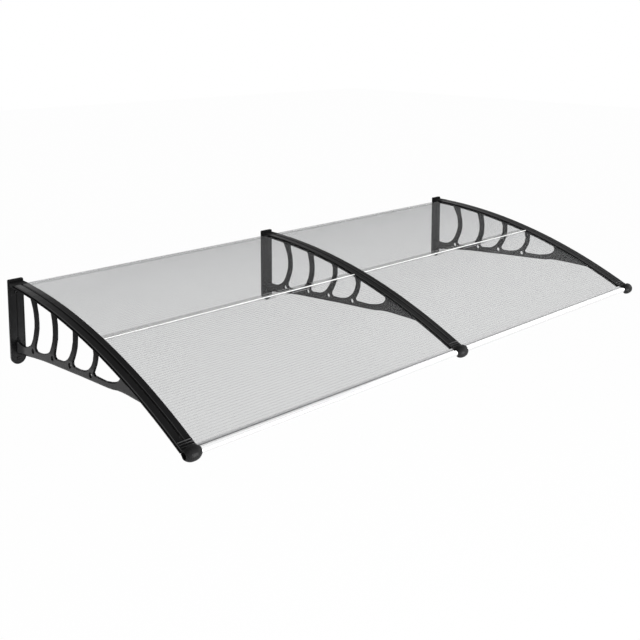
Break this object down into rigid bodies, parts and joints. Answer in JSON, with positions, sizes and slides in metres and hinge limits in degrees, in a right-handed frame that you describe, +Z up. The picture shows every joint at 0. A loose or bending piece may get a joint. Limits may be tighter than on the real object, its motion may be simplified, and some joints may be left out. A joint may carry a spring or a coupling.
{
  "type": "polycarbonate door canopy",
  "caption": "Shallow curved door canopy: clear twin-wall sheets in black moulded rails, on black openwork brackets with wall plates, with a bright round bar along the front edge.",
  "frame": {"origin": "middle of the centre bracket's back face, halfway between its two bolt holes, on the wall", "axes": "+X along the wall to the right as seen from outside, -Y out from the wall, +Z up"},
  "size_m": [2, 0.955, 0.2667],
  "materials": {
    "black_plastic": "fine satin",
    "clear_sheet": "clear, fluted inside",
    "clear_strip": "translucent grey",
    "bright_bar": "bright satin"
  },
  "bodies": {
    "root": {"bracket_left": "black_plastic", "rail_cover_left": "black_plastic", "front_nose_left": "black_plastic", "bracket_centre": "black_plastic", "rail_cover_centre": "black_plastic", "front_nose_centre": "black_plastic", "bracket_right": "black_plastic", "rail_cover_right": "black_plastic", "front_nose_right": "black_plastic", "sheet_rear_left": "clear_sheet", "sheet_front_left": "clear_sheet", "joiner_left": "clear_strip", "rear_strip_left": "clear_strip", "front_bar_left": "bright_bar", "sheet_rear_right": "clear_sheet", "sheet_front_right": "clear_sheet", "joiner_right": "clear_strip", "rear_strip_right": "clear_strip", "front_bar_right": "bright_bar"}
  },
  "joints": []
}
